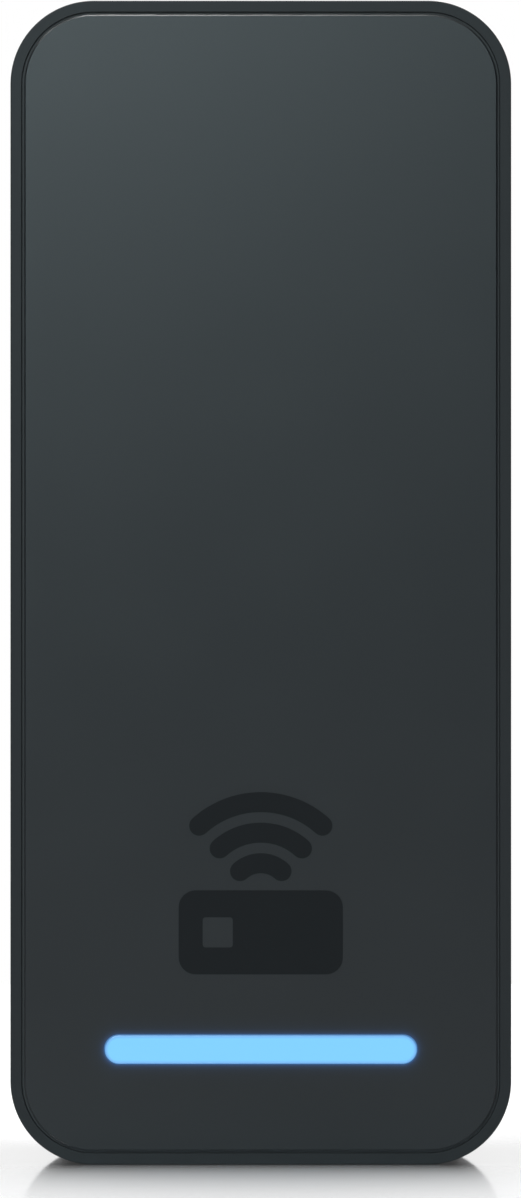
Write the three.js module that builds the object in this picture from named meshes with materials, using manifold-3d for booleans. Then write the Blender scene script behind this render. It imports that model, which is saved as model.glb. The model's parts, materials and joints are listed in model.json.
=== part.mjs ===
// Wall-mounted proximity card reader: a slim moulded housing closed by an inset front cover with a light
// bar, hung on a stamped steel wall plate by two hooks and locked at its foot by a captive screw.
//
// Everything is drawn in the bench frame: the reader lies on its back on the wall plane, x to the right,
// y up the wall and z out of the wall, in millimetres. The last group stands it up, so that +Z is up, the
// front faces -Y and the origin is the middle of the wall plate's back.

import * as THREE from "three";
import { mergeVertices } from "three/addons/utils/BufferGeometryUtils.js";
import Module from "manifold-3d";

const wasm = await Module();
wasm.setup();

// Overall size
const WIDTH = 50;
const HEIGHT = 116.2;
const DEPTH = 21;
const CORNER = 8.3;
const TOP = HEIGHT / 2;
const FOOT = -HEIGHT / 2;

// Housing: skirt, back wall, side wall, front rim
const EDGE = 0.4; // chamfer on the housing's outer edges
const SKIRT_BACK = 0.4; // the skirt stops this far off the wall
const BACK_OUTER = 1.6;
const BACK_INNER = 3.2;
const SIDE_WALL = 2.5;
const RIM = 1.15;
const RIM_FRONT = DEPTH - 0.25;
const LEDGE = 17.9;
const WELL_WALL = 1.2;
const INSIDE_TOP = TOP - SIDE_WALL;

// Front cover and the light bar in it
const PARTING = 0.27;
const COVER_INSET = RIM + PARTING;
const COVER_BACK = 19;
const COVER_EDGE = 0.3;
const BAR = { width: 31.2, height: 2.9, y: FOOT + 11.5, pocket: 18.45 };
const BAR_FIT = 0.15;

// Wall plate, its hooks and its lock tab
const SHEET = 1.2;
const PLATE = { width: 43.4, top: 54.2, foot: -54.4, corner: 5.5 };
const HOOK = { x: 11, width: 8, leg: 53.9, lip: 56.9, reach: 4 };
const TAB = { width: 9, y: -48.4, reach: 9.5 };
const WALL_SCREWS = { spacing: 83.34, width: 4.4, length: 8 };
const CABLE_WAY = { width: 21, top: -4, foot: -34, corner: 4 };

// Wells in the back of the housing
const BAY = { width: 22, top: 6, foot: -38, depth: 12.9 };
const LOCK = { width: 14, top: -45.4, foot: -52.3, depth: 10.6 };
const HEAD_ROOM = { width: 11, length: 15, depth: 4.4 };
const HOOK_WELL = { width: 9, foot: 52.6, roof: 57.3, depth: 5, rail: 2.4 };

// Captive lock screw, an M3 on the line x = 0, z = LOCK_Z, shown backed off
const LOCK_Z = 6.5;
const LOCK_SCREW = { head: 2.7, headLength: 1.8, shank: 1.45, foot: FOOT + 0.2, tip: -49 };
const LOCK_SEAT = -53.5;

// Boards
const BOARD = { back: 15.4, front: 16.6, width: 44.2, height: 109.6, notch: 6.4 };
const ANTENNA = { width: 32, height: 44, y: 26, back: 17.9, front: 18.7 };

// Fixings
const BOARD_POSTS = { x: 18.6, top: 42, foot: -36, radius: 2.5 };
const COVER_BOSSES = { x: 18.8, y: 51.5, radius: 2.5, foot: 6.3 };

// Ethernet jack and the switches
const JACK = { width: 16.2, foot: 4.8, top: 23.3, back: 3.85 };
const MOUTH = { width: 11.8, back: 5.6, front: 13.5, depth: 14 };
const RESET = { x: 17, y: 2 };
const TAMPER = { x: -14, y: -44.5 };
const VENT = { x: 16, y: -43 };

const CORNER_SEGMENTS = 5;
const CLEAR = 0.05;
const THROUGH = 1; // how far a cutting tool runs past the face it cuts

// ---------------------------------------------------------------- materials

function material(color, roughness, metalness = 0) {
  return new THREE.MeshStandardMaterial({ color, roughness, metalness });
}

const graphite = material(0x2f3438, 0.55);
const coverGloss = material(0x30363a, 0.28);
const barLight = material(0x86d4ff, 0.35);
const steel = material(0x8f9499, 0.4, 0.9);
const rubber = material(0x191b1c, 0.9);
const laminate = material(0x14382a, 0.6);
const copper = material(0xb87345, 0.35, 0.9);
const tinned = material(0xb9bcbd, 0.3, 0.9);
const ferrite = material(0x2b2a2c, 0.75);
const blackPlastic = material(0x141516, 0.6);
const whitePlastic = material(0xe9e9e4, 0.5);
const label = material(0xd8d9d6, 0.6);

// ---------------------------------------------------------------- shapes and solids

function roundedRect(width, height, radius) {
  const x = width / 2 - radius;
  const y = height / 2 - radius;
  const shape = new THREE.Shape();
  shape.absarc(x, y, radius, 0, Math.PI / 2);
  shape.absarc(-x, y, radius, Math.PI / 2, Math.PI);
  shape.absarc(-x, -y, radius, Math.PI, Math.PI * 1.5);
  shape.absarc(x, -y, radius, Math.PI * 1.5, Math.PI * 2);
  shape.closePath();
  return shape;
}

// A flat-ended solid of an outline, from z = back to z = front, with an optional chamfer at both ends.
function slab(shape, back, front, chamfer = 0) {
  const geometry = new THREE.ExtrudeGeometry(shape, {
    depth: front - back - 2 * chamfer,
    curveSegments: CORNER_SEGMENTS,
    bevelEnabled: chamfer > 0,
    bevelThickness: chamfer,
    bevelSize: chamfer,
    bevelOffset: -chamfer,
    bevelSegments: 1,
  });
  return solid(geometry.translate(0, 0, back + chamfer));
}

function block(left, right, foot, top, back, front) {
  const geometry = new THREE.BoxGeometry(right - left, top - foot, front - back);
  return solid(geometry.translate((left + right) / 2, (foot + top) / 2, (back + front) / 2));
}

// A cylinder standing on the board's plane, along z.
function post(x, y, radius, back, front, sides = 20) {
  const geometry = new THREE.CylinderGeometry(radius, radius, front - back, sides);
  return solid(geometry.rotateX(Math.PI / 2).translate(x, y, (back + front) / 2));
}

// A turned piece on the y axis, from its (radius, y) profile.
function turned(profile, sides = 20) {
  const points = profile.map(([radius, y]) => new THREE.Vector2(radius, y));
  return solid(new THREE.LatheGeometry(points, sides));
}

function solid(geometry) {
  geometry.deleteAttribute("normal");
  geometry.deleteAttribute("uv");
  const merged = mergeVertices(geometry, 1e-4);
  return new wasm.Manifold(
    new wasm.Mesh({
      numProp: 3,
      vertProperties: merged.attributes.position.array,
      triVerts: new Uint32Array(merged.index.array),
    }),
  );
}

const join = (first, ...others) => others.reduce((sum, other) => sum.add(other), first);
const cut = (first, ...tools) => tools.reduce((rest, tool) => rest.subtract(tool), first);

function piece(name, body, finish, x = 0, y = 0, z = 0) {
  const mesh = body.getMesh();
  const geometry = new THREE.BufferGeometry();
  geometry.setAttribute("position", new THREE.BufferAttribute(mesh.vertProperties, 3));
  geometry.setIndex(new THREE.BufferAttribute(mesh.triVerts, 1));
  geometry.computeVertexNormals();
  const made = new THREE.Mesh(geometry, finish);
  made.name = name;
  made.position.set(x, y, z);
  return made;
}

const bothSides = (make) => [-1, 1].map(make);
const fourCorners = (make) => [-1, 1].flatMap((sx) => [-1, 1].map((sy) => make(sx, sy)));

// ---------------------------------------------------------------- housing

function bayWell() {
  const half = BAY.width / 2;
  return {
    outer: block(-half - WELL_WALL, half + WELL_WALL, BAY.foot - WELL_WALL, BAY.top + WELL_WALL,
      BACK_OUTER, BAY.depth + WELL_WALL),
    inner: block(-half, half, BAY.foot, BAY.top, 0, BAY.depth),
  };
}

// The pocket that the wall plate's lock tab swings into, over a solid boss that carries the screw.
function lockWell() {
  const half = LOCK.width / 2;
  return {
    outer: block(-half - WELL_WALL, half + WELL_WALL, FOOT + SIDE_WALL / 2, LOCK.top + WELL_WALL,
      BACK_OUTER, LOCK.depth + WELL_WALL),
    inner: block(-half, half, LOCK.foot, LOCK.top, 0, LOCK.depth),
  };
}

// Relief over a wall screw's head.
function headRoom(side) {
  const half = HEAD_ROOM.width / 2;
  const y = (side * WALL_SCREWS.spacing) / 2;
  const reach = HEAD_ROOM.length / 2;
  return {
    outer: block(-half - WELL_WALL, half + WELL_WALL, y - reach - WELL_WALL, y + reach + WELL_WALL,
      BACK_OUTER, HEAD_ROOM.depth + WELL_WALL),
    inner: block(-half, half, y - reach, y + reach, 0, HEAD_ROOM.depth),
  };
}

// Pocket for one hook: open at the back below the top wall, and running up inside the top wall so that the
// strip of wall behind it hangs on the hook.
function hookWell(side) {
  const x = side * HOOK.x;
  const half = HOOK_WELL.width / 2;
  const open = block(x - half, x + half, HOOK_WELL.foot, INSIDE_TOP + CLEAR, 0, HOOK_WELL.depth);
  const socket = block(x - half, x + half, INSIDE_TOP - CLEAR, HOOK_WELL.roof, HOOK_WELL.rail,
    HOOK_WELL.depth);
  return {
    outer: block(x - half - WELL_WALL, x + half + WELL_WALL, HOOK_WELL.foot - WELL_WALL,
      INSIDE_TOP + WELL_WALL, BACK_OUTER, HOOK_WELL.depth + WELL_WALL),
    inner: join(open, socket),
  };
}

function rearHousing() {
  const shell = slab(roundedRect(WIDTH, HEIGHT, CORNER), SKIRT_BACK, RIM_FRONT, EDGE);
  const inside = roundedRect(WIDTH - 2 * SIDE_WALL, HEIGHT - 2 * SIDE_WALL, CORNER - SIDE_WALL);
  const cavity = slab(inside, BACK_INNER, DEPTH);
  const plateRoom = slab(inside, SKIRT_BACK - THROUGH, BACK_OUTER);
  const seat = slab(roundedRect(WIDTH - 2 * RIM, HEIGHT - 2 * RIM, CORNER - RIM), LEDGE, DEPTH);
  const wells = [bayWell(), lockWell(), headRoom(1), headRoom(-1), ...bothSides(hookWell)];

  const posts = bothSides((side) => [BOARD_POSTS.top, BOARD_POSTS.foot].map((y) =>
    post(side * BOARD_POSTS.x, y, BOARD_POSTS.radius, BACK_OUTER + CLEAR, BOARD.back - CLEAR))).flat();
  const pilots = bothSides((side) => [BOARD_POSTS.top, BOARD_POSTS.foot].map((y) =>
    post(side * BOARD_POSTS.x, y, 0.95, 9, DEPTH, 12))).flat();
  const screwBosses = fourCorners((sx, sy) =>
    post(sx * COVER_BOSSES.x, sy * COVER_BOSSES.y, 3.4, BACK_OUTER + CLEAR, 6.2));
  const screwWells = fourCorners((sx, sy) => join(
    post(sx * COVER_BOSSES.x, sy * COVER_BOSSES.y, 2.6, 0, 3.6),
    post(sx * COVER_BOSSES.x, sy * COVER_BOSSES.y, 1.4, 0, 8, 12)));

  const jackWay = block(-9.05, 9.05, JACK.foot - 0.2, BAY.top + WELL_WALL + CLEAR, BACK_INNER,
    BAY.depth + WELL_WALL + THROUGH);
  const resetHole = post(RESET.x, RESET.y, 2.2, 0, BACK_INNER + THROUGH, 16);
  const tamperHole = post(TAMPER.x, TAMPER.y, 1.7, 0, BACK_INNER + THROUGH, 16);
  const ventHole = post(VENT.x, VENT.y, 1.2, 0, BACK_INNER + THROUGH, 12);
  const lockHole = turned([
    [0, FOOT - THROUGH], [3.1, FOOT - THROUGH], [3.1, LOCK_SEAT], [1.7, LOCK_SEAT],
    [1.7, LOCK.foot + THROUGH], [0, LOCK.foot + THROUGH],
  ]).translate(0, 0, LOCK_Z);

  const body = join(cut(shell, cavity, plateRoom, seat), ...wells.map((well) => well.outer), ...posts,
    ...screwBosses);
  return cut(body, ...wells.map((well) => well.inner), ...pilots, ...screwWells, jackWay, resetHole,
    tamperHole, ventHole, lockHole);
}

function frontGasket() {
  const outer = roundedRect(WIDTH - 3, HEIGHT - 3, CORNER - 1.5);
  const inner = roundedRect(WIDTH - 4.9, HEIGHT - 4.9, CORNER - 2.45);
  return cut(slab(outer, LEDGE + CLEAR, COVER_BACK - CLEAR), slab(inner, LEDGE - THROUGH, DEPTH));
}

// ---------------------------------------------------------------- front cover and light bar

const stadium = (width, height) => roundedRect(width, height, height / 2 - 0.001);

function frontCover() {
  const face = slab(
    roundedRect(WIDTH - 2 * COVER_INSET, HEIGHT - 2 * COVER_INSET, CORNER - COVER_INSET),
    COVER_BACK, DEPTH, COVER_EDGE);
  const tongue = cut(
    slab(roundedRect(WIDTH - 5.5, HEIGHT - 5.5, CORNER - 2.75), 17.4, COVER_BACK + CLEAR),
    slab(roundedRect(WIDTH - 7.3, HEIGHT - 7.3, CORNER - 3.65), 17.4 - THROUGH, COVER_BACK));
  const bosses = fourCorners((sx, sy) => post(sx * COVER_BOSSES.x, sy * COVER_BOSSES.y,
    COVER_BOSSES.radius, COVER_BOSSES.foot, COVER_BACK + CLEAR));
  const pilots = fourCorners((sx, sy) => post(sx * COVER_BOSSES.x, sy * COVER_BOSSES.y, 1.3,
    COVER_BOSSES.foot - THROUGH, 14.5, 12));
  const window = slab(stadium(BAR.width + 2 * BAR_FIT, BAR.height + 2 * BAR_FIT), 0, DEPTH + THROUGH)
    .translate(0, BAR.y, 0);
  return cut(join(face, tongue, ...bosses), ...pilots, window);
}

function lightBar() {
  return join(
    slab(stadium(BAR.width, BAR.height), BAR.pocket, DEPTH - 0.03),
    slab(stadium(BAR.width + 1.8, BAR.height + 1.8), BAR.pocket, COVER_BACK - CLEAR));
}

function lightReflector() {
  const foot = BOARD.front + CLEAR;
  return cut(slab(roundedRect(33.4, 5.4, 1.2), foot, BAR.pocket - CLEAR),
    slab(stadium(31.6, 3.1), foot - THROUGH, DEPTH));
}

const LED_PITCH = 5;
const LED_COUNT = 6;

function lamp(index) {
  const x = (index - (LED_COUNT - 1) / 2) * LED_PITCH;
  const body = block(-1.4, 1.4, -0.8, 0.8, 0, 0.7);
  return piece(`led_${index + 1}`, body, whitePlastic, x, BAR.y, BOARD.front + CLEAR);
}

// ---------------------------------------------------------------- boards and what is on them

function mainBoard() {
  const { width, height, notch, back, front } = BOARD;
  const wide = block(-width / 2, width / 2, -height / 2 + notch, height / 2 - notch, back, front);
  const tall = block(-width / 2 + notch, width / 2 - notch, -height / 2, height / 2, back, front);
  const holes = bothSides((side) => [BOARD_POSTS.top, BOARD_POSTS.foot].map((y) =>
    post(side * BOARD_POSTS.x, y, 1.1, back - THROUGH, front + THROUGH, 12))).flat();
  return cut(join(wide, tall), ...holes);
}

function antennaBoard() {
  return slab(roundedRect(ANTENNA.width, ANTENNA.height, 2), ANTENNA.back, ANTENNA.front);
}

function antennaCoil() {
  const front = ANTENNA.front + CLEAR;
  return cut(slab(roundedRect(28, 40, 2), front, front + 0.12),
    slab(roundedRect(21, 33, 1), front - THROUGH, front + THROUGH));
}

function ferriteSheet() {
  return slab(roundedRect(30, 42, 1.5), ANTENNA.back - 0.4, ANTENNA.back - CLEAR);
}

function antennaHeader() {
  return block(-3, 3, -1.2, 1.2, BOARD.front + CLEAR, ANTENNA.back - CLEAR);
}

// A part standing on the back of the main board.
function onBoard(width, length, height) {
  const front = BOARD.back - CLEAR;
  return block(-width / 2, width / 2, -length / 2, length / 2, front - height, front);
}

function transformer() {
  const core = onBoard(12, 11, 9.2);
  const window = block(-7, 7, -3.2, 3.2, 4, 8);
  const winding = block(-4.6, 4.6, -3.4, 3.4, 7, 14);
  return join(cut(core, window), winding);
}

function capacitor() {
  const front = BOARD.back - CLEAR;
  return join(block(-3.2, 3.2, -3.2, 3.2, front - 0.8, front), post(0, 0, 3.1, front - 7.6, front - 0.7, 18));
}

function buzzer() {
  const front = BOARD.back - CLEAR;
  return cut(post(0, 0, 4.5, front - 4, front, 22), post(0, 0, 0.9, 0, front - 3, 12));
}

function ethernetJack() {
  const half = JACK.width / 2;
  const body = block(-half, half, JACK.foot, JACK.top, JACK.back, BOARD.back - CLEAR);
  const inside = JACK.foot + MOUTH.depth;
  const mouth = block(-MOUTH.width / 2, MOUTH.width / 2, JACK.foot - THROUGH, inside, MOUTH.back, MOUTH.front);
  const keyway = block(-3.1, 3.1, JACK.foot - THROUGH, inside, MOUTH.back - 1, MOUTH.back + CLEAR);
  return cut(body, mouth, keyway);
}

const CONTACTS = 8;
const CONTACT_PITCH = 1.02;

function jackContacts() {
  const carrier = block(-5.6, 5.6, 17.2, 18.6, 9.5, 13.3);
  const springs = Array.from({ length: CONTACTS }, (_, index) => {
    const x = (index - (CONTACTS - 1) / 2) * CONTACT_PITCH;
    return block(x - 0.22, x + 0.22, 10, 17.4, 11.6, 12);
  });
  return join(carrier, ...springs);
}

// Rubber saddle that closes the gap round the jack where it comes through the bay's roof.
function jackSeal() {
  const foot = BAY.top + CLEAR;
  const top = BAY.top + WELL_WALL - CLEAR;
  const half = JACK.width / 2 + CLEAR;
  return cut(block(-8.95, 8.95, foot, top, BACK_INNER + CLEAR, BAY.depth + WELL_WALL),
    block(-half, half, foot - THROUGH, top + THROUGH, JACK.back - CLEAR, DEPTH));
}

// ---------------------------------------------------------------- switches

function resetSwitch() {
  return onBoard(6, 6, 3.5);
}

// Long key from the reset switch to the back of the housing, pressed with a fingertip or a pin.
function resetButton() {
  const tip = BOARD.back - CLEAR - 3.5 - 0.5;
  return join(post(0, 0, 1.9, BACK_OUTER + CLEAR, 4.4, 16), post(0, 0, 1.2, 4.3, tip, 12),
    post(0, 0, 2.8, 4.2, 5, 16));
}

function tamperSwitch() {
  return onBoard(6, 6, 3.8);
}

// Spring plunger held in by the wall plate while the reader is on the wall.
function tamperPlunger() {
  const tip = BOARD.back - CLEAR - 3.8 - 0.2;
  return join(post(0, 0, 1.5, SHEET + 0.1, tip, 14), post(0, 0, 2.5, 5.2, 6, 16));
}

// ---------------------------------------------------------------- fixings

function boardScrew() {
  return cut(join(post(0, 0, 1.9, 0, 1.1, 16), post(0, 0, 0.85, -6, CLEAR, 12)), post(0, 0, 0.6, 0.5, 2, 6));
}

function coverScrew() {
  return cut(join(post(0, 0, 2.4, 0, 1.6, 16), post(0, 0, 1.15, 1.5, 11, 12)), post(0, 0, 0.8, -1, 0.9, 6));
}

function lockScrew() {
  const { head, headLength, shank, foot, tip } = LOCK_SCREW;
  const neck = foot + headLength;
  const body = turned([
    [0, foot], [head - 0.3, foot], [head, foot + 0.3], [head, neck], [shank, neck],
    [shank, LOCK.foot + 0.1], [1.1, LOCK.foot + 0.1], [1.1, LOCK.foot + 0.9], [shank, LOCK.foot + 0.9],
    [shank, tip - 0.5], [shank - 0.5, tip], [0, tip],
  ]);
  const socket = turned([[0, foot - THROUGH], [1.3, foot - THROUGH], [1.3, foot + 1.1], [0, foot + 1.1]], 6);
  return cut(body, socket);
}

function retainer() {
  const foot = LOCK.foot + 0.15;
  return turned([[1.2, foot], [2.4, foot], [2.4, foot + 0.7], [1.2, foot + 0.7], [1.2, foot]], 16);
}

// ---------------------------------------------------------------- wall plate

function slot(x, y, width, length) {
  return slab(roundedRect(width, length, width / 2 - 0.001), -THROUGH, SHEET + THROUGH).translate(x, y, 0);
}

function hook(side) {
  const left = side * HOOK.x - HOOK.width / 2;
  const right = left + HOOK.width;
  return join(
    block(left, right, HOOK.leg, HOOK.leg + SHEET, 0, HOOK.reach),
    block(left, right, HOOK.leg, HOOK.lip, HOOK.reach - SHEET, HOOK.reach));
}

function lockTab() {
  const half = TAB.width / 2;
  const flange = block(-half, half, TAB.y, TAB.y + SHEET, 0, TAB.reach);
  const root = block(-half, half, TAB.y, TAB.y + 2 * SHEET, 0, SHEET);
  const thread = turned([[0, TAB.y - THROUGH], [1.7, TAB.y - THROUGH], [1.7, TAB.y + SHEET + THROUGH],
    [0, TAB.y + SHEET + THROUGH]]).translate(0, 0, LOCK_Z);
  return cut(join(flange, root), thread);
}

function wallPlate() {
  const height = PLATE.top - PLATE.foot;
  const sheet = slab(roundedRect(PLATE.width, height, PLATE.corner), 0, SHEET)
    .translate(0, (PLATE.top + PLATE.foot) / 2, 0);
  const cableHeight = CABLE_WAY.top - CABLE_WAY.foot;
  const cableWay = slab(roundedRect(CABLE_WAY.width, cableHeight, CABLE_WAY.corner), -THROUGH, SHEET + THROUGH)
    .translate(0, (CABLE_WAY.top + CABLE_WAY.foot) / 2, 0);
  const relief = block(-TAB.width / 2 - 1.7, TAB.width / 2 + 1.7, PLATE.foot - THROUGH, TAB.y + SHEET, -THROUGH,
    SHEET + THROUGH);
  const slots = bothSides((side) =>
    slot(0, (side * WALL_SCREWS.spacing) / 2, WALL_SCREWS.width, WALL_SCREWS.length));
  const levelling = bothSides((side) => slot(side * 14.5, 22, WALL_SCREWS.width, WALL_SCREWS.width + 2));
  return join(cut(sheet, cableWay, relief, ...slots, ...levelling), ...bothSides(hook), lockTab());
}

// ---------------------------------------------------------------- assembly

const plateGroup = new THREE.Group();
plateGroup.add(piece("wall_plate", wallPlate(), steel));

const shellGroup = new THREE.Group();
shellGroup.add(
  piece("rear_housing", rearHousing(), graphite),
  piece("front_gasket", frontGasket(), rubber),
  piece("front_cover", frontCover(), coverGloss),
  piece("light_bar", lightBar(), barLight, 0, BAR.y),
  piece("light_reflector", lightReflector(), whitePlastic, 0, BAR.y),
  piece("jack_seal", jackSeal(), rubber),
  piece("vent_membrane", post(0, 0, 3, BACK_INNER + CLEAR, BACK_INNER + 0.3, 16), whitePlastic, VENT.x, VENT.y),
  piece("rating_label", block(-12, 12, -8, 8, BACK_OUTER - 0.15, BACK_OUTER - CLEAR), label, 0, 20),
);

const boardGroup = new THREE.Group();
boardGroup.add(
  piece("main_board", mainBoard(), laminate),
  piece("antenna_board", antennaBoard(), laminate, 0, ANTENNA.y),
  piece("antenna_coil", antennaCoil(), copper, 0, ANTENNA.y),
  piece("ferrite_sheet", ferriteSheet(), ferrite, 0, ANTENNA.y),
  piece("antenna_header", antennaHeader(), blackPlastic, 0, 0.8),
  piece("ethernet_jack", ethernetJack(), tinned),
  piece("jack_contacts", jackContacts(), copper),
  piece("processor_shield", onBoard(20, 15, 2.6), tinned, 4, 38),
  piece("radio_module", onBoard(9, 12, 2), tinned, 17.4, -12),
  piece("reader_chip", onBoard(6, 6, 0.9), blackPlastic, -17.4, 4),
  piece("power_transformer", transformer(), ferrite, -14, 30),
  piece("input_capacitor", capacitor(), tinned, 12.2, 16.5),
  piece("output_capacitor", capacitor(), tinned, 18.6, 24),
  piece("power_inductor", onBoard(6.5, 6.5, 3.2), ferrite, 17.4, -27),
  piece("buzzer", buzzer(), blackPlastic, -17.4, -14),
  piece("reset_switch", resetSwitch(), blackPlastic, RESET.x, RESET.y),
  piece("tamper_switch", tamperSwitch(), blackPlastic, TAMPER.x, TAMPER.y),
);
for (let index = 0; index < LED_COUNT; index += 1) boardGroup.add(lamp(index));

const movingGroup = new THREE.Group();
movingGroup.add(
  piece("reset_button", resetButton(), whitePlastic, RESET.x, RESET.y),
  piece("tamper_plunger", tamperPlunger(), whitePlastic, TAMPER.x, TAMPER.y),
  piece("screw_retainer", retainer(), blackPlastic, 0, 0, LOCK_Z),
  piece("security_screw", lockScrew(), steel, 0, 0, LOCK_Z),
);

const fixings = new THREE.Group();
fourCorners((sx, sy) => {
  const number = 1 + (sx > 0) + 2 * (sy > 0);
  const boardY = sy > 0 ? BOARD_POSTS.top : BOARD_POSTS.foot;
  fixings.add(
    piece(`cover_screw_${number}`, coverScrew(), steel, sx * COVER_BOSSES.x, sy * COVER_BOSSES.y,
      BACK_OUTER + 0.3),
    piece(`board_screw_${number}`, boardScrew(), steel, sx * BOARD_POSTS.x, boardY, BOARD.front + CLEAR),
  );
});

const readerGroup = new THREE.Group();
readerGroup.add(shellGroup, boardGroup, movingGroup, fixings);

const reader = new THREE.Group();
reader.add(plateGroup, readerGroup);
reader.rotation.x = Math.PI / 2;

export default reader;
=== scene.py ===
"""A wall-mounted proximity card reader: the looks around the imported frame.

Lengths are in millimetres, in the bench coordinates x to the right, z up the wall and "out" away from
the wall, and become metres in the frame's axes in place(). Fine meshes stand for the frame's coarse
outer pieces.
"""

import json
import math

import bmesh
import bpy
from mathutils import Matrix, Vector


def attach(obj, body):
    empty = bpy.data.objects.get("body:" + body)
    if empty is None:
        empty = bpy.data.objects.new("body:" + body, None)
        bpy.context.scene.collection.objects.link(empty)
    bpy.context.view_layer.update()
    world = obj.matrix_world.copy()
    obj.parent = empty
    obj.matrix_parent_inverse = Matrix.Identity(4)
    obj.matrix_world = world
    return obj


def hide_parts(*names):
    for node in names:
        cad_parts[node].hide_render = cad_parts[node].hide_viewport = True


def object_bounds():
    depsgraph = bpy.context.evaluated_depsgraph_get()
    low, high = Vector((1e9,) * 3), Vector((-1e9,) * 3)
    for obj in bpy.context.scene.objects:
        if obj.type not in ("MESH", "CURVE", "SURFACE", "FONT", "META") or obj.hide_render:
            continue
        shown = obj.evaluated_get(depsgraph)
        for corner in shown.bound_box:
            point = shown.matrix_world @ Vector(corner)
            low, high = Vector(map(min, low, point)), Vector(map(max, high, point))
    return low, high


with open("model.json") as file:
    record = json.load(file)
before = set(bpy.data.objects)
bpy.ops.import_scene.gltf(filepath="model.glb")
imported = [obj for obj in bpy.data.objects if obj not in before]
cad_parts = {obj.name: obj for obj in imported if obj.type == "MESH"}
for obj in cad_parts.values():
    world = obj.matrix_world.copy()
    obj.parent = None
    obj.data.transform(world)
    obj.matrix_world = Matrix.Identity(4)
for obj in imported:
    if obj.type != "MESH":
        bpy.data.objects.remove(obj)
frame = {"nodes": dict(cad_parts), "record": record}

CAD_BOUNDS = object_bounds()
MM = 0.001

# ---------------------------------------------------------------- sizes, as in the frame

WIDTH = 50.0
HEIGHT = 116.2
DEPTH = 21.0
CORNER = 8.3
FOOT = -HEIGHT / 2
CORNER_STEPS = 28

SKIRT_BACK = 0.4
BACK_OUTER = 1.6
BACK_INNER = 3.2
SIDE_WALL = 2.5
INSIDE_TOP = HEIGHT / 2 - SIDE_WALL
RIM = 1.15
RIM_FRONT = DEPTH - 0.25
RIM_ROUND = 0.14
LEDGE = 17.9

COVER_INSET = RIM + 0.27
COVER_BACK = 19.0
COVER_CHAMFER = 0.12
COVER_SCREW_X = 18.8
COVER_SCREW_Z = 51.5
BOARD_SCREW_X = 18.6
BOARD_SCREW_HEIGHTS = (42.0, -36.0)

BAR_WIDTH = 31.2
BAR_HEIGHT = 2.9
BAR_Z = FOOT + 11.5
BAR_BACK = 18.45
BAR_FRONT = DEPTH - 0.03

SHEET = 1.2
PLATE_WIDTH = 43.4
PLATE_TOP = 54.2
PLATE_FOOT = -54.4
HOOK_X = 11.0
HOOK_HALF = 4.0
TAB_HALF = 4.5
TAB_Z = -48.4
LOCK_OUT = 6.5
THREAD_PITCH = 0.5
THREAD_TURNS = 4

CARD_Z = -34.9
CARD_HALF_WIDTH = 8.2
CARD_HALF_HEIGHT = 4.2
CARD_CORNER = 1.7
CHIP_X = -4.3
CHIP_HALF = 1.5
CHIP_CORNER = 0.3
WAVE_Z = -31.1
WAVE_RADII = (3.1, 6.15, 9.2)
WAVE_STROKE = 2.0
WAVE_OPENING = 42
MARK_FILM = 0.02

# ---------------------------------------------------------------- points and meshes


# Points closer than this become one, in metres.
WELD = 1e-7
# Round ends fall short of a half circle by this, in millimetres, so that none of their points meet.
HAIR = 1e-3
SLOT_STEPS = 12
POST_STEPS = 40
SMALL_HOLE_STEPS = 24


def place(x, z, out):
    """A bench point in the frame's axes, in metres."""
    return Vector((x * MM, -out * MM, z * MM))


def rounded_outline(half_width, half_height, radius, steps=CORNER_STEPS):
    """Points (x, z) round a rounded rectangle, anticlockwise seen from the front."""
    points = []
    for turn, (side, end) in enumerate(((1, 1), (-1, 1), (-1, -1), (1, -1))):
        centre_x = side * (half_width - radius)
        centre_z = end * (half_height - radius)
        for step in range(steps + 1):
            angle = (turn + step / steps) * math.pi / 2
            points.append((centre_x + radius * math.cos(angle), centre_z + radius * math.sin(angle)))
    return points


def ring(outline, out, x=0.0, z=0.0):
    """An outline's points at one depth, moved by x and z."""
    return [place(x + point[0], z + point[1], out) for point in outline]


def body_ring(inset, out):
    """The reader's own outline, moved in by inset."""
    radius = max(CORNER - inset, 0.5)
    return ring(rounded_outline(WIDTH / 2 - inset, HEIGHT / 2 - inset, radius), out)


def arc(centre_a, centre_b, radius, start, end, steps):
    """Points on an arc in any two coordinates, from the angle start to end in degrees."""
    points = []
    for step in range(steps + 1):
        angle = math.radians(start + (end - start) * step / steps)
        points.append((centre_a + radius * math.cos(angle), centre_b + radius * math.sin(angle)))
    return points


def wrapped(name, mesh):
    """An object of that name around a bmesh."""
    data = bpy.data.meshes.new(name)
    mesh.to_mesh(data)
    mesh.free()
    made = bpy.data.objects.new(name, data)
    bpy.context.scene.collection.objects.link(made)
    return made


def new_object(name, mesh):
    """An object around a bmesh, with its seams welded and its faces turned outward."""
    bmesh.ops.remove_doubles(mesh, verts=mesh.verts, dist=WELD)
    bmesh.ops.recalc_face_normals(mesh, faces=mesh.faces)
    return wrapped(name, mesh)


def loft(name, rings, closed=False):
    """A skin over rings of equally many points, capped at its ends or joined back to its first ring."""
    mesh = bmesh.new()
    loops = [[mesh.verts.new(point) for point in points] for points in rings]
    pairs = list(zip(loops, loops[1:]))
    if closed:
        pairs.append((loops[-1], loops[0]))
    for near, far in pairs:
        for index in range(len(near)):
            following = (index + 1) % len(near)
            mesh.faces.new((near[index], near[following], far[following], far[index]))
    if not closed:
        mesh.faces.new(loops[0][::-1])
        mesh.faces.new(loops[-1])
    return new_object(name, mesh)


def box(left, right, foot, top, back, front):
    """A plain block between six planes."""
    corners = ((left, foot), (right, foot), (right, top), (left, top))
    return loft("box", [ring(corners, back), ring(corners, front)])


def post(x, z, radius, back, front, steps=POST_STEPS):
    """A round post along the reader's depth."""
    circle = arc(0, 0, radius, 0, 360 - 360 / steps, steps - 1)
    return loft("post", [ring(circle, back, x, z), ring(circle, front, x, z)])


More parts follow.
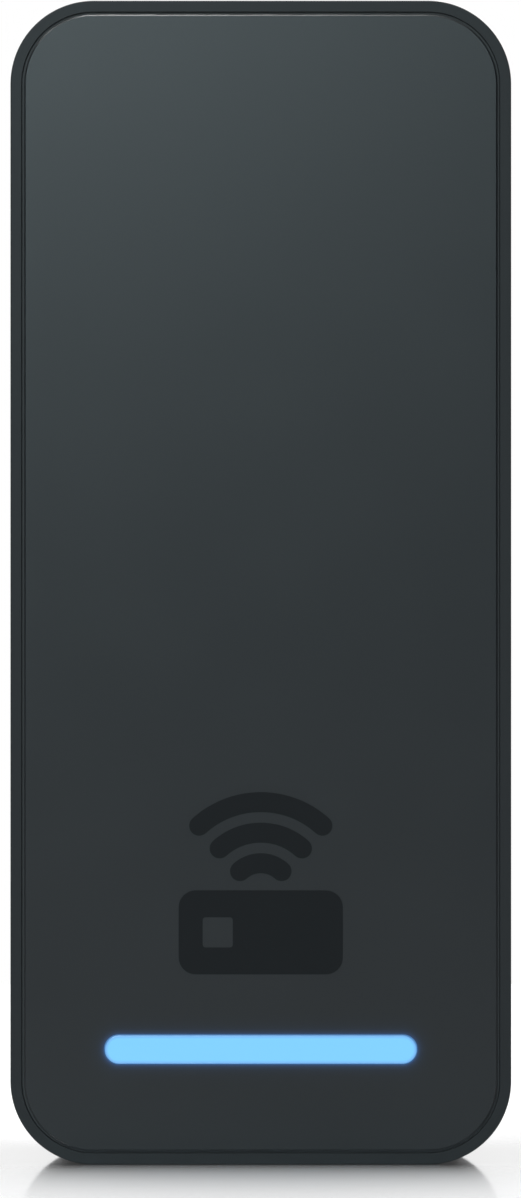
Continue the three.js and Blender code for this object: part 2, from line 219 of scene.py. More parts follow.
def slot(x, z, width, length, back, front):
    """A round-ended slot's inside."""
    radius = min(width, length) / 2 - HAIR
    outline = rounded_outline(width / 2, length / 2, radius, SLOT_STEPS)
    return loft("slot", [ring(outline, back, x, z), ring(outline, front, x, z)])


def strip(left, right, profile):
    """A bent sheet: a (z, out) profile carried from left to right."""
    return loft("strip", [[place(x, z, out) for z, out in profile] for x in (left, right)])


def turned(name, profile, x, out, steps=64):
    """A solid turned about an upright axis, from a (radius, z) profile that starts and ends on the axis."""
    mesh = bmesh.new()
    verts = [mesh.verts.new(place(x + radius, z, out)) for radius, z in profile]
    edges = [mesh.edges.new(pair) for pair in zip(verts, verts[1:])]
    bmesh.ops.spin(mesh, geom=verts + edges, cent=place(x, 0, out), axis=(0, 0, 1),
                   angle=2 * math.pi, steps=steps, use_merge=True)
    return new_object(name, mesh)


def upright(radius, foot, top):
    """The profile of a plain cylinder, for turned()."""
    return [(0, foot), (radius, foot), (radius, top), (0, top)]


def merged(name, pieces):
    """Many objects as one."""
    mesh = bmesh.new()
    for item in pieces:
        mesh.from_mesh(item.data)
        bpy.data.objects.remove(item)
    return wrapped(name, mesh)


def apply_modifiers(piece):
    """Makes a piece's modifiers part of its mesh."""
    evaluated = piece.evaluated_get(bpy.context.evaluated_depsgraph_get())
    data = bpy.data.meshes.new_from_object(evaluated)
    piece.modifiers.clear()
    piece.data = data


def boolean(target, operation, tools):
    """Joins tools to the target, or cuts them out of it."""
    tool = merged("tool", tools)
    modifier = target.modifiers.new("boolean", "BOOLEAN")
    modifier.operation = operation
    modifier.solver = "EXACT"
    modifier.use_self = True
    modifier.object = tool
    apply_modifiers(target)
    bpy.data.objects.remove(tool)
    return target


FLAT_AREA = 60 * MM * MM
SQUARE_ON = 0.99999


def shade(piece, angle=32):
    """Smooth over round stretches, sharp at edges, and truly flat on large faces and on square ones."""
    piece.data.shade_smooth()
    piece.data.set_sharp_from_angle(angle=math.radians(angle))
    for face in piece.data.polygons:
        if face.area > FLAT_AREA or max(abs(part) for part in face.normal) > SQUARE_ON:
            face.use_smooth = False
    return piece


def bevelled(piece, width, segments):
    """Breaks every sharp edge by width millimetres."""
    modifier = piece.modifiers.new("bevel", "BEVEL")
    modifier.width = width * MM
    modifier.segments = segments
    modifier.limit_method = "ANGLE"
    modifier.angle_limit = math.radians(50)
    modifier.use_clamp_overlap = True
    apply_modifiers(piece)
    return piece


def fit_out(piece, body, slot_name, material, *nodes):
    """Gives a finished piece its material and its body, and hides the nodes it stands for. slot_name is not
    used.
    """
    piece.data.materials.clear()
    piece.data.materials.append(material)
    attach(piece, body)
    if nodes:
        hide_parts(*nodes)
    return piece


# ---------------------------------------------------------------- node helpers


def number(tree, operation, first, second=None):
    """One math node, on sockets or plain numbers."""
    node = tree.nodes.new("ShaderNodeMath")
    node.operation = operation
    for socket, value in zip(node.inputs, (first, second)):
        if isinstance(value, (int, float)):
            socket.default_value = value
        elif value is not None:
            tree.links.new(value, socket)
    return node.outputs[0]


def straight(tree, first, second):
    """The straight distance that two distances at right angles make."""
    squares = [number(tree, "MULTIPLY", side, side) for side in (first, second)]
    return number(tree, "SQRT", number(tree, "ADD", *squares))


def object_axes(tree):
    """x, y and z of a point in its piece's own frame, in metres."""
    coordinates = tree.nodes.new("ShaderNodeTexCoord")
    split = tree.nodes.new("ShaderNodeSeparateXYZ")
    tree.links.new(coordinates.outputs["Object"], split.inputs[0])
    return split.outputs


def noise(tree, scale, detail=4, stretch=(1, 1, 1)):
    """Cloudy noise in a piece's own frame, with scale in features a metre."""
    coordinates = tree.nodes.new("ShaderNodeTexCoord")
    mapping = tree.nodes.new("ShaderNodeMapping")
    mapping.inputs["Scale"].default_value = stretch
    texture = tree.nodes.new("ShaderNodeTexNoise")
    texture.inputs["Scale"].default_value = scale
    texture.inputs["Detail"].default_value = detail
    tree.links.new(coordinates.outputs["Object"], mapping.inputs[0])
    tree.links.new(mapping.outputs[0], texture.inputs["Vector"])
    return texture.outputs["Fac"]


# Most of a noise texture's values lie between these.
NOISE_LOW = 0.3
NOISE_HIGH = 0.7


def spread(tree, factor, low, high):
    """A noise mapped to run from low to high."""
    node = tree.nodes.new("ShaderNodeMapRange")
    node.inputs["From Min"].default_value = NOISE_LOW
    node.inputs["From Max"].default_value = NOISE_HIGH
    node.inputs["To Min"].default_value = low
    node.inputs["To Max"].default_value = high
    tree.links.new(factor, node.inputs["Value"])
    return node.outputs[0]


def ramp(tree, factor, stops):
    """A colour that runs through (position, colour) stops, given in rising order."""
    node = tree.nodes.new("ShaderNodeValToRGB")
    elements = node.color_ramp.elements
    while len(elements) < len(stops):
        elements.new(1.0)
    for index, (position, color) in enumerate(stops):
        elements[index].position = position
        elements[index].color = (*color, 1)
    tree.links.new(factor, node.inputs[0])
    return node.outputs[0]


def tint(tree, factor, dark, light):
    """A colour between dark and light, over a noise's usual span."""
    return ramp(tree, factor, ((NOISE_LOW, dark), (NOISE_HIGH, light)))


def bump(tree, shader, height, distance):
    """distance is the height of the relief in millimetres."""
    node = tree.nodes.new("ShaderNodeBump")
    node.inputs["Strength"].default_value = 1.0
    node.inputs["Distance"].default_value = distance * MM
    tree.links.new(height, node.inputs["Height"])
    tree.links.new(node.outputs[0], shader.inputs["Normal"])


def material(name, color, roughness, metallic=0.0):
    """A material with one principled shader; returns it, its tree and the shader."""
    made = bpy.data.materials.new(name)
    made.use_nodes = True
    made.diffuse_color = (*color, 1)
    shader = made.node_tree.nodes["Principled BSDF"]
    shader.inputs["Base Color"].default_value = (*color, 1)
    shader.inputs["Roughness"].default_value = roughness
    shader.inputs["Metallic"].default_value = metallic
    return made, made.node_tree, shader


def shades(color, share):
    """A colour a little darker and a little lighter."""
    return tuple(c * (1 - share) for c in color), tuple(c * (1 + share) for c in color)


# ---------------------------------------------------------------- materials


def moulded(name, color, roughness, grain, relief, mottle=0.06):
    """Moulded plastic: a fine grain with its relief in millimetres, and faintly cloudy tone and gloss."""
    made, tree, shader = material(name, color, roughness)
    cloud = noise(tree, scale=90)
    tree.links.new(tint(tree, cloud, *shades(color, mottle)), shader.inputs["Base Color"])
    uneven = 0.015
    gloss = spread(tree, cloud, roughness - uneven, roughness + uneven)
    tree.links.new(gloss, shader.inputs["Roughness"])
    bump(tree, shader, noise(tree, grain, detail=5), relief)
    return made, tree, shader


def bar_distance(tree):
    """Distance in metres outside the light bar's outline, negative inside it."""
    x, _, z = object_axes(tree)
    run = (BAR_WIDTH - BAR_HEIGHT) / 2 * MM
    along = number(tree, "MAXIMUM", number(tree, "SUBTRACT", number(tree, "ABSOLUTE", x), run), 0.0)
    across = number(tree, "SUBTRACT", z, BAR_Z * MM)
    return number(tree, "SUBTRACT", straight(tree, along, across), BAR_HEIGHT / 2 * MM)


COVER_COLOR = (0.0106, 0.0148, 0.0186)
# Colour of the painted glow that the cover itself emits round the light bar's window.
PAINTED_HALO_COLOR = (0.11, 0.36, 1.0)
# The painted halo's two falls, each as its strength at the window and its reach in millimetres.
PAINTED_HALO_FALLS = ((0.15, 0.14), (0.055, 0.42))
# The lit bar's colours, by depth in from its edge as a share of half its height.
BAR_STOPS = ((0.0, (0.07, 0.19, 0.42)), (0.09, (0.16, 0.42, 0.80)), (0.26, (0.19, 0.585, 1.0)))


def cover_material():
    """Satin cover, with a painted glow: blue emission for half a millimetre round the window, standing in
    for the bar's light falling on it.
    """
    made, tree, shader = moulded("satin_cover", COVER_COLOR, 0.43, grain=2600, relief=0.0012, mottle=0.012)
    shader.inputs["Specular IOR Level"].default_value = 0.35
    away = number(tree, "MAXIMUM", bar_distance(tree), 0.0)
    falls = []
    for strength, reach in PAINTED_HALO_FALLS:
        fall = number(tree, "EXPONENT", number(tree, "MULTIPLY", away, -1 / (reach * MM)))
        falls.append(number(tree, "MULTIPLY", fall, strength))
    # Painted glow: the cover emits the bar's blue light round the window, though it is no lamp.
    glow = number(tree, "ADD", *falls)
    shader.inputs["Emission Color"].default_value = (*PAINTED_HALO_COLOR, 1)
    tree.links.new(glow, shader.inputs["Emission Strength"])
    return made


def housing_material():
    """Textured plastic, matter than the cover."""
    color = (0.0130, 0.0172, 0.0206)
    made, _, shader = moulded("textured_housing", color, 0.60, grain=3000, relief=0.006, mottle=0.03)
    shader.inputs["Specular IOR Level"].default_value = 0.25
    return made


def print_material():
    """Matt ink, darker than the cover and with hardly any gloss."""
    color = (0.0085, 0.0112, 0.0136)
    made, _, shader = moulded("cover_print", color, 0.5, grain=2200, relief=0.001, mottle=0.02)
    shader.inputs["Specular IOR Level"].default_value = 0.12
    return made


def light_material():
    """Lit diffuser: even pale blue, dimming over the last part of a millimetre at its edge."""
    made, tree, shader = material("lit_diffuser", (0.03, 0.07, 0.10), 0.32)
    depth = number(tree, "MULTIPLY", bar_distance(tree), -1 / (BAR_HEIGHT / 2 * MM))
    tree.links.new(ramp(tree, depth, BAR_STOPS), shader.inputs["Emission Color"])
    shader.inputs["Emission Strength"].default_value = 1.0
    return made


def sheet_metal(name, color, roughness, grain=(1, 1, 0.03)):
    """Plated sheet: drawn grain one way, cloudy gloss the other."""
    made, tree, shader = material(name, color, roughness, 1.0)
    lines = noise(tree, scale=1400, stretch=grain)
    cloud = noise(tree, scale=130)
    tree.links.new(tint(tree, cloud, *shades(color, share=0.04)), shader.inputs["Base Color"])
    uneven = 0.08
    gloss = spread(tree, lines, roughness - uneven, roughness + uneven)
    tree.links.new(gloss, shader.inputs["Roughness"])
    bump(tree, shader, lines, distance=0.004)
    return made


def board_material():
    """Solder mask over traces that run up and across the board."""
    made, tree, shader = material("solder_mask", (0.008, 0.045, 0.026), 0.32)
    coordinates = tree.nodes.new("ShaderNodeTexCoord")
    turn = tree.nodes.new("ShaderNodeMapping")
    turn.inputs["Rotation"].default_value = (math.pi / 2, 0, 0)
    bricks = tree.nodes.new("ShaderNodeTexBrick")
    bricks.inputs["Scale"].default_value = 260
    bricks.inputs["Mortar Size"].default_value = 0.05
    bricks.inputs["Color1"].default_value = (0.006, 0.036, 0.021, 1)
    bricks.inputs["Color2"].default_value = (0.008, 0.046, 0.027, 1)
    bricks.inputs["Mortar"].default_value = (0.016, 0.085, 0.048, 1)
    tree.links.new(coordinates.outputs["Object"], turn.inputs[0])
    tree.links.new(turn.outputs[0], bricks.inputs["Vector"])
    tree.links.new(bricks.outputs["Color"], shader.inputs["Base Color"])
    bump(tree, shader, bricks.outputs["Fac"], distance=0.03)
    return made


def finishes():
    """One material for each slot of the record."""
    return {
        "plate_steel": sheet_metal("zinc_plated_sheet", (0.42, 0.44, 0.46), 0.38),
        "housing_plastic": housing_material(),
        "cover_plastic": cover_material(),
        "cover_print": print_material(),
        "light_plastic": light_material(),
        "white_plastic": moulded("white_plastic", (0.74, 0.74, 0.70), 0.45, grain=1600, relief=0.004)[0],
        "black_plastic": moulded("black_plastic", (0.008, 0.008, 0.009), 0.5, grain=1600, relief=0.004)[0],
        "rubber": moulded("silicone_rubber", (0.0175, 0.0230, 0.0270), 0.75, grain=1300, relief=0.004)[0],
        "board_laminate": board_material(),
        "copper": sheet_metal("etched_copper", (0.60, 0.26, 0.12), 0.3),
        "gold_contacts": sheet_metal("gold_plate", (0.78, 0.55, 0.20), 0.25),
        "tinned_steel": sheet_metal("tin_plate", (0.55, 0.56, 0.57), 0.32),
        "capacitor_can": sheet_metal("drawn_can", (0.62, 0.63, 0.64), 0.28),
        "ferrite": moulded("sintered_ferrite", (0.016, 0.016, 0.018), 0.6, grain=1100, relief=0.01)[0],
        "label_film": moulded("label_film", (0.62, 0.62, 0.60), 0.5, grain=700, relief=0.002)[0],
        "screw_steel": sheet_metal("plated_screw", (0.44, 0.45, 0.46), 0.3, (1, 1, 1)),
    }


# ---------------------------------------------------------------- housing


def shell():
    """The tub's skin: up the inside, over the rim, down the outside and in under the skirt."""
    rim_edge = 0.08
    back_edge = 0.6
    rings = [(SIDE_WALL, BACK_INNER), (SIDE_WALL, LEDGE), (RIM, LEDGE)]
    rings += arc(RIM - rim_edge, RIM_FRONT - rim_edge, rim_edge, 0, 90, steps=3)
    rings += arc(RIM_ROUND, RIM_FRONT - RIM_ROUND, RIM_ROUND, 90, 180, steps=10)
    rings += arc(back_edge, SKIRT_BACK + back_edge, back_edge, 180, 270, steps=6)
    rings += [(SIDE_WALL, SKIRT_BACK), (SIDE_WALL, BACK_OUTER)]
    return loft("housing_shell", [body_ring(inset, out) for inset, out in rings])


# Pockets in the back wall, as half width, foot, top and depth.
CABLE_BAY = (11.0, -38.0, 6.0, 12.9)
UPPER_SCREW_WELL = (5.5, 34.17, 49.17, 4.4)
LOWER_SCREW_WELL = (5.5, -49.17, -34.17, 4.4)
POCKET_WALL = 1.2
# Walls and posts start just inside the back wall, and cuts start behind everything.
ROOT = BACK_OUTER + 0.1
BEHIND = -1.0


def pocket(half, foot, top, depth):
    """(wall, hollow) of a rectangular pocket in the back wall."""
    wall = box(-half - POCKET_WALL, half + POCKET_WALL, foot - POCKET_WALL, top + POCKET_WALL,
               ROOT, depth + POCKET_WALL)
    return wall, box(-half, half, foot, top, BEHIND, depth)


def tab_room():
    """(wall, hollow) where the lock tab goes in. The wall is solid down to the foot, for the lock screw."""
    half = 7.0
    foot = -52.3
    top = -45.4
    depth = 10.6
    wall = box(-half - POCKET_WALL, half + POCKET_WALL, FOOT + SIDE_WALL / 2, top + POCKET_WALL,
               ROOT, depth + POCKET_WALL)
    return wall, box(-half, half, foot, top, BEHIND, depth)


def hook_room(x):
    """(wall, hollows) where a hook goes in, with the pocket above that its lip rises into."""
    half = 4.5
    foot = 52.6
    depth = 5.0
    lip_back = 2.4
    lip_top = 57.3
    seam = 0.02
    wall = box(x - half - POCKET_WALL, x + half + POCKET_WALL, foot - POCKET_WALL, INSIDE_TOP + POCKET_WALL,
               ROOT, depth + POCKET_WALL)
    entry = box(x - half, x + half, foot, INSIDE_TOP + seam, BEHIND, depth)
    lip = box(x - half, x + half, INSIDE_TOP - seam, lip_top, lip_back, depth)
    return wall, [entry, lip]


def board_post(x, z):
    """(post, bore) for one board screw."""
    radius = 2.5
    bore = 0.95
    bore_start = 9
    top = 15.35
    return post(x, z, radius, ROOT, top), post(x, z, bore, bore_start, DEPTH, steps=20)


def cover_post(x, z):
    """(post, bores) for one cover screw, with its head sunk in the back."""
    radius = 3.4
    top = 6.2
    head_radius = 2.6
    head_front = 3.6
    shank_radius = 1.4
    shank_front = top + 1.8
    head = post(x, z, head_radius, BEHIND, head_front)
    shank = post(x, z, shank_radius, BEHIND, shank_front, SMALL_HOLE_STEPS)
    return post(x, z, radius, ROOT, top), [head, shank]


def lock_way():
    """The stepped hole in the foot that the lock screw's head and shank go up."""
    head = 3.1
    shank = 1.7
    below = FOOT - 1
    step = -53.5
    top = -51.3
    profile = [(0, below), (head, below), (head, step), (shank, step), (shank, top), (0, top)]
    return turned("lock_way", profile, 0, LOCK_OUT)


def small_openings():
    """The jack's mouth in the cable bay's top, the lock screw's way and three round holes in the back."""
    half = 9.05
    foot = 4.6
    top = 7.25
    front = 15.1
    jack_mouth = box(-half, half, foot, top, BACK_INNER, front)
    reset_hole = (17, 2, 2.2)
    tamper_hole = (-14, -44.5, 1.7)
    vent_hole = (16, -43, 1.2)
    holes = [jack_mouth, lock_way()]
    for x, z, radius in (reset_hole, tamper_hole, vent_hole):
        holes.append(post(x, z, radius, BEHIND, BACK_INNER + 1))
    return holes


def housing():
    """The tub: its shell, the rooms and posts inside, and every opening."""
    pairs = [pocket(*size) for size in (CABLE_BAY, UPPER_SCREW_WELL, LOWER_SCREW_WELL)]
    pairs.append(tab_room())
    joined = [wall for wall, _ in pairs]
    cuts = [hollow for _, hollow in pairs]
    for side in (-1, 1):
        wall, hollows = hook_room(side * HOOK_X)
        joined.append(wall)
        cuts += hollows
        for z in BOARD_SCREW_HEIGHTS:
            pillar, bore = board_post(side * BOARD_SCREW_X, z)
            joined.append(pillar)
            cuts.append(bore)
        for z in (-COVER_SCREW_Z, COVER_SCREW_Z):
            pillar, bores = cover_post(side * COVER_SCREW_X, z)
            joined.append(pillar)
            cuts += bores
    solid = boolean(shell(), "UNION", joined)
    return shade(boolean(solid, "DIFFERENCE", cuts + small_openings()))


def parting_gasket():
    """The gasket under the cover, with the thin lip that fills the parting line."""
    lip_in = RIM + 0.03
    lip_out = COVER_INSET - 0.03
    lip_front = 20.6
    inside = SIDE_WALL - 0.05
    back = LEDGE + 0.05
    step = COVER_BACK - 0.05
    profile = [(inside, back), (inside, step), (lip_out, step), (lip_out, lip_front), (lip_in, lip_front)]
    profile.append((lip_in, back))
    return shade(loft("parting_gasket", [body_ring(inset, out) for inset, out in profile], closed=True))


# ---------------------------------------------------------------- cover, light bar and mark


def cover():
    """A flat panel with a fine chamfer, a tongue into the housing and four screw posts."""
    edge = DEPTH - COVER_CHAMFER
    rings = ((COVER_INSET, COVER_BACK), (COVER_INSET, edge), (COVER_INSET + COVER_CHAMFER, DEPTH))
    panel = loft("cover_panel", [body_ring(inset, out) for inset, out in rings])
    tongue_out = 2.75
    tongue_in = 3.65
    tongue_back = 17.4
    root = COVER_BACK + 0.05
    tongue = ((tongue_out, tongue_back), (tongue_in, tongue_back), (tongue_in, root), (tongue_out, root))
    joined = [loft("tongue", [body_ring(inset, out) for inset, out in tongue], closed=True)]
    window_gap = 0.12
    window_back = 10
    window = slot(0, BAR_Z, BAR_WIDTH + window_gap, BAR_HEIGHT + window_gap, window_back, DEPTH + 1)
    cuts = [window]
    post_radius = 2.5
    post_back = 6.3
    bore_radius = 1.3
    bore_back = 5.0
    bore_front = 14.5
    for side in (-1, 1):
        for z in (-COVER_SCREW_Z, COVER_SCREW_Z):
            x = side * COVER_SCREW_X
            joined.append(post(x, z, post_radius, post_back, root))
            cuts.append(post(x, z, bore_radius, bore_back, bore_front, SMALL_HOLE_STEPS))
    return shade(boolean(boolean(panel, "UNION", joined), "DIFFERENCE", cuts))


def bar_ring(inset, out):
    """The light bar's outline, moved in by inset."""
    half_height = BAR_HEIGHT / 2 - inset
    return ring(rounded_outline(BAR_WIDTH / 2 - inset, half_height, half_height - HAIR), out, 0, BAR_Z)


def light_bar():
    """The lens that fills the window, with a flange behind the cover."""
    edge = 0.12
    flange = -0.9
    flange_front = COVER_BACK - 0.05
    rings = [(flange, BAR_BACK), (flange, flange_front), (0, flange_front)]
    rings += arc(edge, BAR_FRONT - edge, edge, 180, 90, steps=4)
    return shade(loft("light_bar_lens", [bar_ring(inset, out) for inset, out in rings]))


def card_mark():
    """A printed card with its chip left clear, as one closed band of ink."""
    steps = 8
    card = rounded_outline(CARD_HALF_WIDTH, CARD_HALF_HEIGHT, CARD_CORNER, steps)
    chip = [(CHIP_X + x, z) for x, z in rounded_outline(CHIP_HALF, CHIP_HALF, CHIP_CORNER, steps)]
    profile = ((chip, DEPTH), (card, DEPTH), (card, DEPTH + MARK_FILM), (chip, DEPTH + MARK_FILM))
    return loft("mark_card", [ring(outline, out, 0, CARD_Z) for outline, out in profile], closed=True)


def wave_mark(count, radius):
    """One printed arc with round ends, above the card."""
    half = WAVE_STROKE / 2
    start = 90 - WAVE_OPENING
    end = 90 + WAVE_OPENING
    right, left = arc(0, WAVE_Z, radius, start, end, steps=1)
    outline = arc(0, WAVE_Z, radius + half, start, end, steps=40)
    outline += arc(*left, half, end, end + 180, steps=10)[1:-1]
    outline += arc(0, WAVE_Z, radius - half, end, start, steps=40)
    outline += arc(*right, half, start + 180, start + 360, steps=10)[1:-1]
    return loft(f"mark_wave_{count}", [ring(outline, DEPTH), ring(outline, DEPTH + MARK_FILM)])


# ---------------------------------------------------------------- wall plate


def hook_strip(side):
    """A hook: out from the plate's top edge, then up."""
    root = 52.6
    leg_foot = 53.9
    leg_top = leg_foot + SHEET
    reach = 4.0
    back = reach - SHEET
    lip = 56.9
    outer = 1.3
    inner_foot = 0.4
    inner_top = 0.3
    tip = 0.35
    profile = [(root, SHEET)]
    profile += arc(leg_foot - inner_foot, SHEET + inner_foot, inner_foot, 270, 360, steps=4)
    profile += arc(leg_foot + outer, reach - outer, outer, 180, 90, steps=8)
    profile += arc(lip - tip, reach - tip, tip, 90, 0, steps=4)
    profile += arc(lip - tip, back + tip, tip, 0, -90, steps=4)
    profile += arc(leg_top + inner_top, back - inner_top, inner_top, 90, 180, steps=4)
    profile += arc(leg_top - outer, outer, outer, 0, -90, steps=8)
    profile.append((root, 0))
    return strip(side * HOOK_X - HOOK_HALF, side * HOOK_X + HOOK_HALF, profile)


def tab_strip():
    """The lock tab: turned straight out of the plate's foot."""
    root = -45.8
    reach = 9.5
    outer = 1.5
    inner = 0.35
    profile = [(root, 0)]
    profile += arc(TAB_Z + outer, outer, outer, 270, 180, steps=8)
    profile += [(TAB_Z, reach), (TAB_Z + SHEET, reach)]
    profile += arc(TAB_Z + SHEET + inner, SHEET + inner, inner, 180, 270, steps=4)
    profile.append((root, SHEET))
    return strip(-TAB_HALF, TAB_HALF, profile)


def plate_cuts():
    """The wall screws' slots, the levelling slots, the cable's way and the gap left by the lock tab."""
    behind = -1.0
    ahead = 3.0
    slot_width = 4.4
    screw_z = 41.67
    screw_length = 8.0
    level_x = 14.5
    level_z = 22.0
    level_length = 6.4
    way_z = -19.0
    way_half_width = 10.5
    way_half_height = 15.0
    way_corner = 4.0
    way = rounded_outline(way_half_width, way_half_height, way_corner, steps=14)
    gap = 6.2
    cuts = [slot(0, side * screw_z, slot_width, screw_length, behind, ahead) for side in (-1, 1)]
    cuts += [slot(side * level_x, level_z, slot_width, level_length, behind, ahead) for side in (-1, 1)]
    cuts.append(loft("cable_way", [ring(way, out, 0, way_z) for out in (behind, ahead)]))
    cuts.append(box(-gap, gap, PLATE_FOOT - 1, TAB_Z + SHEET, behind, ahead))
    return cuts


def plate():
    """The wall plate: a flat sheet with its cuts, two hooks, and the lock tab with its hole."""
    corner = 5.5
    hole = 1.7
    edge = 0.12
    outline = rounded_outline(PLATE_WIDTH / 2, (PLATE_TOP - PLATE_FOOT) / 2, corner)
    centre = (PLATE_TOP + PLATE_FOOT) / 2
    sheet = loft("mounting_plate", [ring(outline, 0, 0, centre), ring(outline, SHEET, 0, centre)])
    made = boolean(sheet, "DIFFERENCE", plate_cuts())
    made = boolean(made, "UNION", [hook_strip(-1), hook_strip(1), tab_strip()])
    tab_hole = turned("tab_hole", upright(hole, TAB_Z - 1, TAB_Z + SHEET + 1), 0, LOCK_OUT)
    return shade(bevelled(boolean(made, "DIFFERENCE", [tab_hole]), edge, segments=2))


# ---------------------------------------------------------------- lock screw


def lock_screw():
    """Captive screw with a hexagon socket; its thread is a row of rounded ridges."""
    head = 2.7
    head_round = 0.3
    shank = 1.4
    neck = 1.1
    thread_root = 1.2
    thread_crest = 1.45
    point = 1.0
    socket = 1.3
    socket_depth = 1.1
    foot = FOOT + 0.2
    head_top = foot + 1.8
    groove = -52.2
    groove_top = groove + 0.8
    tip = -49.0
    profile = [(0, foot)] + arc(head - head_round, foot + head_round, head_round, -90, 0, steps=4)
    profile += [(head, head_top), (shank, head_top), (shank, groove)]
    profile += [(neck, groove), (neck, groove_top), (shank, groove_top)]
    for turn in range(THREAD_TURNS):
        z = groove_top + turn * THREAD_PITCH
        profile += [(thread_root, z + THREAD_PITCH / 2), (thread_crest, z + THREAD_PITCH)]
    profile += [(point, tip), (0, tip)]
    made = turned("lock_screw", profile, 0, LOCK_OUT)
    hexagon = turned("hexagon", upright(socket, foot - 1, foot + socket_depth), 0, LOCK_OUT, steps=6)
    return shade(boolean(made, "DIFFERENCE", [hexagon]), angle=25)


# ---------------------------------------------------------------- assembly

FINISH = finishes()
READER = "reader"

fit_out(housing(), READER, "housing_plastic", FINISH["housing_plastic"], "rear_housing")
fit_out(parting_gasket(), READER, "rubber", FINISH["rubber"], "front_gasket")
fit_out(cover(), READER, "cover_plastic", FINISH["cover_plastic"], "front_cover")
fit_out(light_bar(), READER, "light_plastic", FINISH["light_plastic"], "light_bar")
fit_out(plate(), "wall_plate", "plate_steel", FINISH["plate_steel"], "wall_plate")
fit_out(lock_screw(), "security_screw", "screw_steel", FINISH["screw_steel"], "security_screw")

fit_out(card_mark(), READER, "cover_print", FINISH["cover_print"])
for count, radius in enumerate(WAVE_RADII, 1):
    fit_out(wave_mark(count, radius), READER, "cover_print", FINISH["cover_print"])

STAND_INS = {"rear_housing", "front_gasket", "front_cover", "light_bar", "wall_plate", "security_screw"}
for part in frame["record"]["subparts"]:
    if part["node"] not in STAND_INS:
        frame["nodes"][part["node"]].material_slots[0].material = FINISH[part["material_slot"]]

# ---------------------------------------------------------------- studio

FLOOR_REACH = 0.26
# How far the glossy reflection reaches, and its share at the foot. The same mask paints shade round the
# foot, where the floor's glow is taken away.
MIRROR_AND_SHADE_REACH = 0.0165
MIRROR_AND_SHADE_SHARE = 0.92
# The room's colours, from straight ahead of the reader (0) to straight behind it (1).
ROOM_STOPS = ((0.45, (0.035, 0.04, 0.045)), (0.85, (1, 1, 1)))
FLOOR_GLOW = 0.35


def mirror_and_painted_shade(tree):
    """The floor's share of glossy reflection instead of glowing white: most at the object's foot, and
    falling off with distance. Where it is high the floor loses its glow, so it is a rendered reflection and
    also painted shade round the foot.
    """
    x, y, _ = object_axes(tree)
    low, high = CAD_BOUNDS
    half_depth = (high[1] - low[1]) / 2
    side = number(tree, "MAXIMUM", number(tree, "SUBTRACT", number(tree, "ABSOLUTE", x), high[0]), 0.0)
    from_middle = number(tree, "ABSOLUTE", number(tree, "ADD", y, half_depth))
    ahead = number(tree, "MAXIMUM", number(tree, "SUBTRACT", from_middle, half_depth), 0.0)
    away = number(tree, "DIVIDE", straight(tree, side, ahead), -MIRROR_AND_SHADE_REACH)
    return number(tree, "MULTIPLY", number(tree, "EXPONENT", away), MIRROR_AND_SHADE_SHARE)


def floor_material():
    """White sweep. It mirrors the object at its foot, and less and less away from it; where it does, it
    also loses its glow, a painted shade round the foot.
    """
    made = bpy.data.materials.new("white_sweep")
    made.use_nodes = True
    tree = made.node_tree
    tree.nodes.clear()
    diffuse = tree.nodes.new("ShaderNodeBsdfDiffuse")
    diffuse.inputs["Color"].default_value = (0.92, 0.92, 0.92, 1)
    gloss = tree.nodes.new("ShaderNodeBsdfGlossy")
    # The glossy colour is a little darker than the glowing white, part of the painted shade round the foot.
    gloss.inputs["Color"].default_value = (0.88, 0.88, 0.88, 1)
    gloss.inputs["Roughness"].default_value = 0.06
    glow = tree.nodes.new("ShaderNodeEmission")
    glow.inputs["Strength"].default_value = FLOOR_GLOW
    white = tree.nodes.new("ShaderNodeAddShader")
    tree.links.new(diffuse.outputs[0], white.inputs[0])
    tree.links.new(glow.outputs[0], white.inputs[1])
    mix = tree.nodes.new("ShaderNodeMixShader")
    output = tree.nodes.new("ShaderNodeOutputMaterial")
    # Near the foot the glowing white gives way to the glossy reflection: a rendered reflection there, and
    # painted shade.
    tree.links.new(mirror_and_painted_shade(tree), mix.inputs["Fac"])
    tree.links.new(white.outputs[0], mix.inputs[1])
    tree.links.new(gloss.outputs[0], mix.inputs[2])
    tree.links.new(mix.outputs[0], output.inputs["Surface"])
    return made


def sweep():
    """The floor, just under the object's foot."""
    mesh = bmesh.new()
    gap = 0.02 * MM
    level = CAD_BOUNDS[0][2] - gap
    corners = ((-1, -1), (1, -1), (1, 1), (-1, 1))
    mesh.faces.new([mesh.verts.new((x * FLOOR_REACH, y * FLOOR_REACH, level)) for x, y in corners])
    made = new_object("floor", mesh)
    made.data.materials.append(floor_material())


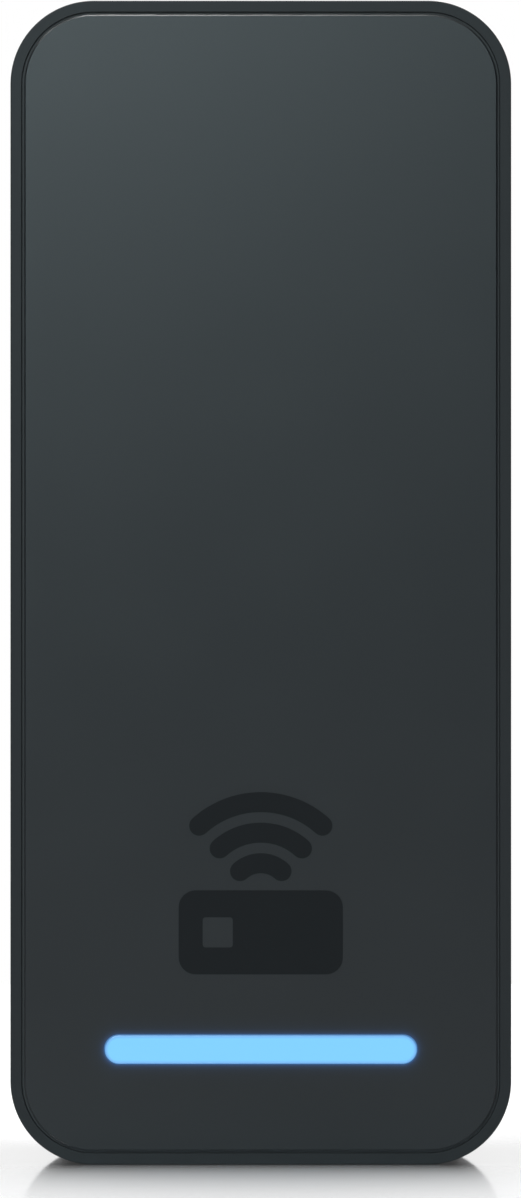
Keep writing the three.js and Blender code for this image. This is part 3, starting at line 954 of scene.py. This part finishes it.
def surroundings():
    """White to the camera. The object sees a white sweep behind it and a dim room in front."""
    world = bpy.data.worlds.new("studio")
    bpy.context.scene.world = world
    world.use_nodes = True
    tree = world.node_tree
    tree.nodes.clear()
    direction = tree.nodes.new("ShaderNodeTexCoord")
    split = tree.nodes.new("ShaderNodeSeparateXYZ")
    tree.links.new(direction.outputs["Generated"], split.inputs[0])
    behind = number(tree, "ADD", number(tree, "MULTIPLY", split.outputs[1], 0.5), 0.5)
    room = tree.nodes.new("ShaderNodeBackground")
    tree.links.new(ramp(tree, behind, ROOM_STOPS), room.inputs["Color"])
    white = tree.nodes.new("ShaderNodeBackground")
    white.inputs["Color"].default_value = (1, 1, 1, 1)
    path = tree.nodes.new("ShaderNodeLightPath")
    mix = tree.nodes.new("ShaderNodeMixShader")
    output = tree.nodes.new("ShaderNodeOutputWorld")
    tree.links.new(path.outputs["Is Camera Ray"], mix.inputs["Fac"])
    tree.links.new(room.outputs[0], mix.inputs[1])
    tree.links.new(white.outputs[0], mix.inputs[2])
    tree.links.new(mix.outputs[0], output.inputs["Surface"])


def lamp(name, kind, position, target, energy, size, color=(1, 1, 1), diffuse=True):
    """size is an area light's side in metres, or the sun's angle in radians."""
    data = bpy.data.lights.new(name, kind)
    data.energy = energy
    data.color = color
    if kind == "AREA":
        data.shape = "SQUARE"
        data.size = size
    else:
        data.angle = size
    made = bpy.data.objects.new(name, data)
    made.location = position
    made.visible_camera = False
    made.visible_diffuse = diffuse
    made.rotation_euler = (Vector(target) - Vector(position)).to_track_quat("-Z", "Y").to_euler()
    bpy.context.scene.collection.objects.link(made)


def lights():
    """A sheen down the cover, thin light on its top edges, a softbox ahead and a broad light overhead."""
    cool = (0.8, 0.97, 1.0)
    lamp("sheen", "AREA", (-0.075, -0.35, 0.195), (-0.005, 0, 0.03), energy=1.52, size=0.17,
         color=cool, diffuse=False)
    for x, z, energy in ((-0.03, 0.30, 0.5), (-0.17, 0.24, 0.14)):
        lamp("edge_light", "AREA", (x, -0.009, z), (0, -0.021, 0.058), energy, size=0.028, diffuse=False)
    lamp("softbox", "AREA", (-0.5, -0.9, 0.8), (0, 0, 0.02), energy=2.4, size=0.5)
    lamp("overhead", "SUN", (0, 0.3, 1), (0, 0, 0), energy=1.5, size=math.radians(80))


# The height in metres that the picture spans at the cover's face, and where its middle is in millimetres.
VIEW_HEIGHT = 0.11955
VIEW_X = -0.03
VIEW_Z = -1.635
LENS = 180.0
SENSOR = 36.0


def camera():
    """Looks straight at the front through a long lens."""
    data = bpy.data.cameras.new("camera")
    data.sensor_fit = "VERTICAL"
    data.sensor_height = SENSOR
    data.lens = LENS
    data.clip_start = 0.01
    made = bpy.data.objects.new("camera", data)
    made.location = (VIEW_X * MM, -DEPTH * MM - VIEW_HEIGHT * LENS / SENSOR, VIEW_Z * MM)
    made.rotation_euler = (math.pi / 2, 0, 0)
    bpy.context.scene.collection.objects.link(made)
    bpy.context.scene.camera = made


sweep()
surroundings()
lights()
camera()
bpy.context.scene.view_settings.view_transform = "Standard"
